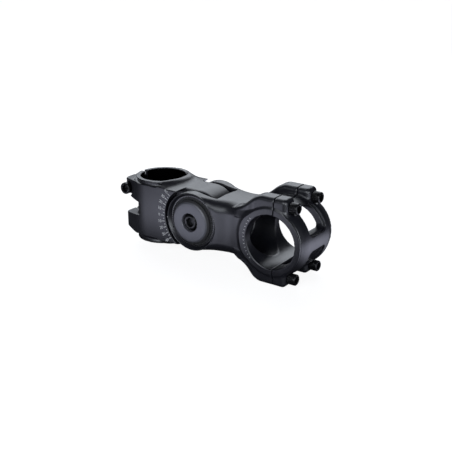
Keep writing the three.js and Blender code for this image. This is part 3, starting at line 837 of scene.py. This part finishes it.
satin_black, satin_tree, satin_shader = finish_of("satin_black", "cap_black")
satin_at = satin_tree.node("ShaderNodeTexCoord", None, None, "Object")
satin_centred = satin_tree.node(
    "ShaderNodeMapping", None, {"Vector": satin_at, "Location": (-pivot_x * MM, 0, -mid_z * MM)}
)
satin_plan = satin_tree.node(
    "ShaderNodeVectorMath", {"operation": "MULTIPLY"}, {0: satin_centred, 1: (1, 0, 1)}
)
satin_ring = satin_tree.node(
    "ShaderNodeVectorMath", {"operation": "LENGTH"}, {0: satin_plan}, "Value"
)
satin_lathe = satin_tree.node(
    "ShaderNodeTexNoise",
    {"noise_dimensions": "1D"},
    {"W": satin_ring * 5200.0, "Scale": 1.0, "Detail": 3.0},
    "Fac",
)
satin_grain = noise(satin_tree, satin_at, 3200.0)
satin_cloud = noise(satin_tree, satin_at, 110.0)
satin_shade = satin_lathe * 0.4 + satin_grain * 0.3 + satin_cloud * 0.3
satin_base = satin_shade.mix((0.078, 0.078, 0.092, 1), (0.124, 0.125, 0.146, 1))
# The cone round the face is left dull, and its colour is painted near black, darker than the face: a
# painted shade like that of the gap beside it.
satin_rim_painted_shade = satin_ring.between(0.0122, 0.0128)
feed(
    satin_tree,
    satin_shader,
    Base_Color=satin_rim_painted_shade.mix(satin_base, (0.002, 0.002, 0.003, 1)),
    Roughness=satin_lathe * 0.10 + satin_grain * 0.10 + satin_rim_painted_shade * 0.35 + 0.30,
    Metallic=0.0,
    Specular_IOR_Level=1.0,
    Normal=bump(satin_tree, satin_lathe * 0.6 + satin_grain * 0.4, strength=0.10, distance=0.00004),
)

# Heights are distances from the stem's middle plane.
cap_inner = 10.85
cap_face = 18.07
cap_seat = 13.05
spigot_end = 5.0
spigot_radius = 7.8
pocket_radius = 6.1
groove_floor = cap_inner + 3.8
groove_radius = 13.2
rim_radius = 14.4
tooth_top = cap_face - 2.7
for side, label, seat, hole in (
    (-1, "right", 5.6, 3.3),
    (1, "left", across_flats(10.1), 4.4),
):
    cap_teeth = serrated(15.4, 14.6, tooth_count)
    cap = turned(
        f"{label}_toothed_cap",
        [
            (cap_seat, hole),
            (cap_inner, hole),
            (cap_inner, pocket_radius),
            (spigot_end, pocket_radius),
            (spigot_end, spigot_radius - 0.2),
            (spigot_end + 0.2, spigot_radius),
            (groove_floor, spigot_radius),
            (groove_floor, groove_radius),
            (cap_inner, groove_radius),
            (cap_inner, rim_radius),
            (cap_inner + 0.35, cap_teeth),
            (tooth_top - 0.3, cap_teeth),
            (tooth_top, rim_radius),
            (tooth_top, 13.7),
            (cap_face - 1.45, 13.65),
            (cap_face - 1.35, 13.5),
            (cap_face - 0.14, 11.95),
            (cap_face - 0.03, 11.7),
            (cap_face, 11.4),
            (cap_face, 6.0),
            (cap_face - 0.03, 5.85) if side < 0 else (cap_face, 6.1),
            (cap_face - 0.3, seat),
            (cap_seat, seat),
            (cap_seat, hole),
        ],
        sides=6 * tooth_count,
    )
    settle(cap, on_pivot(side), bend=24)
    dress(cap, f"{label}_cap", satin_black, f"{label}_lock_cap")


# Pivot bolt
# An M6 socket head bolt of black oxide steel that draws the two caps together.
# Handling has worn its edges a touch lighter.
oxide_black, oxide_tree, oxide_shader = finish_of("oxide_black", "screw_black")
oxide_at = oxide_tree.node("ShaderNodeTexCoord", None, None, "Object")
oxide_stain = noise(oxide_tree, oxide_at, 420.0, detail=3.0)
oxide_grain = noise(oxide_tree, oxide_at, 4200.0)
oxide_point = oxide_tree.node("ShaderNodeNewGeometry", None, None, "Pointiness")
oxide_edge = oxide_point.between(0.54, 0.62)
oxide_base = oxide_stain.mix((0.003, 0.003, 0.0034, 1), (0.008, 0.008, 0.009, 1))
feed(
    oxide_tree,
    oxide_shader,
    Base_Color=(oxide_edge * 0.3).mix(oxide_base, (0.12, 0.12, 0.13, 1)),
    Metallic=0.0,
    Roughness=oxide_stain * 0.12 + oxide_grain * 0.08 + 0.14,
    Specular_IOR_Level=0.4,
    Normal=bump(oxide_tree, oxide_grain, strength=0.08, distance=0.00003),
)


def socket_screw(name, radius, length, head, depth, socket, socket_depth, edge, pitch):
    """A socket head screw: its seat at height 0, the knurled head above, the threaded shank below."""
    tip = 0.5
    thread_depth = 0.32
    knurl = serrated(head, head - 0.09, count=36)
    rows = [(-length, 0), (-length, radius - tip), (-length + tip, radius)]
    height = -length + tip + pitch / 2
    while height < -pitch * 1.5:
        rows += [(height, radius - thread_depth), (height + pitch / 2, radius)]
        height += pitch
    rows += [(0, radius), (0, head - 0.25), (0.25, knurl), (depth - edge - 0.1, knurl)]
    rows += [(depth - edge, head - 0.06), (depth - 0.06, head - edge), (depth, head - edge - 0.12)]
    mouth = socket / 2 / np.cos(np.pi / 6) + 0.12
    rows += [(depth, mouth), (depth - 0.14, across_flats(socket + 0.1))]
    rows += [(depth - 0.3, across_flats(socket)), (depth - socket_depth, across_flats(socket))]
    rows += [(depth - socket_depth - 0.5, 0)]
    return turned(name, rows, sides=72)


washer_gap = 0.15
washer_thickness = 1
washer_top = cap_seat + washer_gap + washer_thickness
pivot_bolt = socket_screw(
    "socket_pivot_bolt",
    radius=3,
    length=28.65,
    head=5,
    depth=3.2,
    socket=5,
    socket_depth=2.4,
    edge=1.0,
    pitch=1.0,
)
bolt_place = on_pivot(-1, turn=0.2) @ Matrix.Translation((0, 0, washer_top + washer_gap))
settle(pivot_bolt, bolt_place, bend=28)
dress(pivot_bolt, "bolt", oxide_black, "pivot_bolt")


# Washer, sleeve nut, springs and their washers
# Zinc plated steel pieces, turned or wound, which lie inside the lock.
# They keep their solids and get the plating: fine turning marks and small grey clouds.
zinc, zinc_tree, zinc_shader = finish_of("zinc_plate", "steel")
zinc_at = zinc_tree.node("ShaderNodeTexCoord", None, None, "Object")
zinc_cloud = noise(zinc_tree, zinc_at, 600.0, detail=4.0, roughness=0.6)
zinc_mark = noise(zinc_tree, zinc_at, 5000.0)
feed(
    zinc_tree,
    zinc_shader,
    Base_Color=zinc_cloud.mix((0.42, 0.43, 0.45, 1), (0.62, 0.62, 0.60, 1)),
    Metallic=1.0,
    Roughness=zinc_cloud * 0.2 + zinc_mark * 0.12 + 0.14,
    Normal=bump(zinc_tree, zinc_mark, strength=0.12, distance=0.00003),
)


def coat(name, material):
    """Gives a solid that is kept its finish."""
    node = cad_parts[name]
    node.data.materials.clear()
    node.data.materials.append(material)


for name in (
    "pivot_washer",
    "pivot_sleeve_nut",
    "right_spring_washer",
    "left_spring_washer",
    "right_release_spring",
    "left_release_spring",
):
    coat(name, zinc)


# Plain bushes
# Two flanged bearing bushes of dark moulded polymer, pressed into the tongue.
# The caps' spigots turn in them.
polymer, polymer_tree, polymer_shader = finish_of("bush_polymer", "bush_polymer")
polymer_at = polymer_tree.node("ShaderNodeTexCoord", None, None, "Object")
polymer_grain = noise(polymer_tree, polymer_at, 2400.0, detail=3.0)
polymer_cloud = noise(polymer_tree, polymer_at, 260.0)
feed(
    polymer_tree,
    polymer_shader,
    Base_Color=polymer_cloud.mix((0.035, 0.034, 0.033, 1), (0.06, 0.058, 0.055, 1)),
    Roughness=polymer_grain * 0.2 + 0.5,
    Normal=bump(polymer_tree, polymer_grain, strength=0.2, distance=0.00004),
)
for name in ("right_pivot_bush", "left_pivot_bush"):
    coat(name, polymer)


# Bar screws and pinch screws
# Six like socket head screws of black oxide steel: four draw the face plate to the arm,
# and two close the rear lugs, the upper one entered from the right and the lower one from the left.
screw_tree, screw_in = tree_of(
    "screws",
    Screw=None,
    Spacing_across=2 * bar_bolt_y,
    Spacing_up=2 * bar_bolt_rise,
    Material=None,
)
screw_start = Wire(screw_tree)
screw_net = screw_start.node(
    "GeometryNodeMeshGrid",
    None,
    {
        "Size X": screw_in["Spacing across"],
        "Size Y": screw_in["Spacing up"],
        "Vertices X": 2,
        "Vertices Y": 2,
    },
)
screw_shape = screw_start.node(
    "GeometryNodeObjectInfo", None, {"Object": screw_in["Screw"]}, "Geometry"
)
screw_set = screw_start.node(
    "GeometryNodeInstanceOnPoints", None, {"Points": screw_net, "Instance": screw_shape}
)
close_tree(screw_tree, screw_set, screw_in["Material"])

bar_pattern = socket_screw(
    "screw_pattern",
    radius=2.5,
    length=19,
    head=3.25,
    depth=5,
    socket=4,
    socket_depth=2.6,
    edge=0.45,
    pitch=0.8,
)
bar_screws = grown("bar_screws", screw_tree, Screw=bar_pattern, Material=oxide_black)
head_seat_x = 100.55
facing_out = Matrix.Rotation(np.pi / 2, 4, "Y") @ Matrix.Rotation(np.pi / 2, 4, "Z")
bar_place = Matrix.Translation((head_seat_x * MM, 0, mid_z * MM)) @ facing_out @ Matrix.Scale(MM, 4)
settle(bar_screws, bar_place, bend=28)
dress(
    bar_screws,
    "plate",
    oxide_black,
    "upper_right_bar_screw",
    "lower_right_bar_screw",
    "upper_left_bar_screw",
    "lower_left_bar_screw",
)
bpy.data.objects.remove(bar_pattern)

pinch_pattern = socket_screw(
    "pinch_pattern",
    radius=2.5,
    length=16.5,
    head=3.7,
    depth=5.7,
    socket=4,
    socket_depth=2.6,
    edge=0.45,
    pitch=0.8,
)
pair_tree, pair_in = tree_of("screw_pair", Screw=None, Rise=pinch_rise, Seat=8.65, Material=None)
pair_start = Wire(pair_tree)
pair_line = pair_start.node("GeometryNodeMeshLine", None, {"Count": 2, "Offset": (0, 0, 1)})
pair_index = pair_start.node("GeometryNodeInputIndex")
pair_sign = pair_index * 2.0 - 1.0
pair_spot = pair_start.node(
    "ShaderNodeCombineXYZ",
    None,
    {"Y": pair_sign * pair_in["Seat"], "Z": 0.0 - pair_sign * pair_in["Rise"]},
)
pair_points = pair_start.node(
    "GeometryNodeSetPosition", None, {"Geometry": pair_line, "Position": pair_spot}
)
pair_turn = pair_start.node("ShaderNodeCombineXYZ", None, {"X": 0.0 - pair_sign * (np.pi / 2)})
pair_shape = pair_start.node("GeometryNodeObjectInfo", None, {"Object": pair_in["Screw"]}, "Geometry")
pair_set = pair_start.node(
    "GeometryNodeInstanceOnPoints",
    None,
    {"Points": pair_points, "Instance": pair_shape, "Rotation": pair_turn},
)
close_tree(pair_tree, pair_set, pair_in["Material"])
pinch_screws = grown("pinch_screws", pair_tree, Screw=pinch_pattern, Material=oxide_black)
pinch_place = Matrix.Translation((pinch_x * MM, 0, mid_z * MM)) @ Matrix.Scale(MM, 4)
settle(pinch_screws, pinch_place, bend=28)
dress(pinch_screws, "clamp", oxide_black, "upper_pinch_screw", "lower_pinch_screw")
bpy.data.objects.remove(pinch_pattern)


# Angle scale
# Pad-printed ticks and plain numbers on the clamp's right side, 40 degrees up and down from level.
# A short mark on the arm's ear points at them, and the bar clamp's lip has a row of plain marks.
print_ink, ink_tree, ink_shader = finish_of("print_ink", "body_black")
ink_at = ink_tree.node("ShaderNodeTexCoord", None, None, "Object")
ink_grain = noise(ink_tree, ink_at, 3500.0)
feed(
    ink_tree,
    ink_shader,
    Base_Color=ink_grain.mix((0.78, 0.78, 0.78, 1), (0.90, 0.90, 0.90, 1)),
    Roughness=ink_grain * 0.2 + 0.45,
    Normal=bump(ink_tree, ink_grain, strength=0.1, distance=0.00002),
)

tick_tree, tick_in = tree_of(
    "ticks",
    Count=9,
    First_angle=0.0,
    Step_angle=0.0,
    Radius=20.7,
    Length=1.6,
    Width=0.36,
    Thickness=0.05,
    Material=None,
)
tick_start = Wire(tick_tree)
tick_line = tick_start.node(
    "GeometryNodeMeshLine", None, {"Count": tick_in["Count"], "Offset": (0, 0, 1)}
)
tick_index = tick_start.node("GeometryNodeInputIndex")
tick_angle = tick_index * tick_in["Step angle"] + tick_in["First angle"]
tick_spot = tick_start.node(
    "ShaderNodeCombineXYZ",
    None,
    {
        "X": tick_start.maths("COSINE", tick_angle) * tick_in["Radius"],
        "Z": tick_start.maths("SINE", tick_angle) * tick_in["Radius"],
    },
)
tick_points = tick_start.node(
    "GeometryNodeSetPosition", None, {"Geometry": tick_line, "Position": tick_spot}
)
tick_size = tick_start.node(
    "ShaderNodeCombineXYZ",
    None,
    {"X": tick_in["Length"], "Y": tick_in["Thickness"], "Z": tick_in["Width"]},
)
tick_block = tick_start.node("GeometryNodeMeshCube", None, {"Size": tick_size})
tick_set = tick_start.node(
    "GeometryNodeInstanceOnPoints",
    None,
    {
        "Points": tick_points,
        "Instance": tick_block,
        "Rotation": tick_start.node("ShaderNodeCombineXYZ", None, {"Y": 0.0 - tick_angle}),
    },
)
close_tree(tick_tree, tick_set, tick_in["Material"])

scale_spot = Matrix.Translation((pivot_x * MM, -clamp_half * MM, mid_z * MM))
scale_place = scale_spot @ Matrix.Scale(MM, 4)
for name, count, first, radius, length in (
    ("long_scale_ticks", 9, 140, 21.75, 2.2),
    ("short_scale_ticks", 8, 145, 21.1, 0.9),
):
    ticks = grown(
        name,
        tick_tree,
        Count=count,
        First_angle=float(np.radians(first)),
        Step_angle=float(np.radians(10)),
        Radius=radius,
        Length=length,
        Material=print_ink,
    )
    settle(ticks, scale_place)
    dress(ticks, "clamp", print_ink)

pointer = grown(
    "scale_pointer",
    tick_tree,
    Count=1,
    First_angle=float(np.pi),
    Radius=17.5,
    Length=0.5,
    Width=0.4,
    Material=print_ink,
)
settle(pointer, Matrix.Translation((0, -0.5 * MM, 0)) @ scale_place)
dress(pointer, "arm", print_ink)

lip_place = Matrix.Translation((bar_x * MM, -lip_face * MM, mid_z * MM)) @ Matrix.Scale(MM, 4)
lip_marks = grown(
    "lip_marks",
    tick_tree,
    Count=13,
    First_angle=float(np.radians(138)),
    Step_angle=float(np.radians(7)),
    Radius=17.6,
    Length=0.9,
    Width=0.22,
    Thickness=0.03,
    Material=print_ink,
)
settle(lip_marks, lip_place)
dress(lip_marks, "arm", print_ink)

number_radius = 24.6
number_height = 2.7
numbers = bmesh.new()
for degrees in range(-40, 41, 10):
    words = bpy.data.curves.new("number", "FONT")
    words.body = str(abs(degrees))
    words.size = number_height
    words.align_x, words.align_y = "CENTER", "CENTER"
    words.extrude = 0.02
    carrier = bpy.data.objects.new("number", words)
    scene.collection.objects.link(carrier)
    graph = bpy.context.evaluated_depsgraph_get()
    letters = bpy.data.meshes.new_from_object(carrier.evaluated_get(graph))
    angle = np.radians(180 - degrees)
    spot = Matrix.Translation((number_radius * np.cos(angle), 0, number_radius * np.sin(angle)))
    upright = Matrix.Rotation(np.pi / 2, 4, "X") @ Matrix.Rotation(angle - np.pi, 4, "Z")
    letters.transform(scale_place @ spot @ upright)
    numbers.from_mesh(letters)
    bpy.data.objects.remove(carrier)
number_mesh = bpy.data.meshes.new("scale_numbers")
numbers.to_mesh(number_mesh)
numbers.free()
scale_numbers = bpy.data.objects.new("scale_numbers", number_mesh)
scene.collection.objects.link(scale_numbers)
settle(scale_numbers, Matrix.Identity(4))
dress(scale_numbers, "clamp", print_ink)
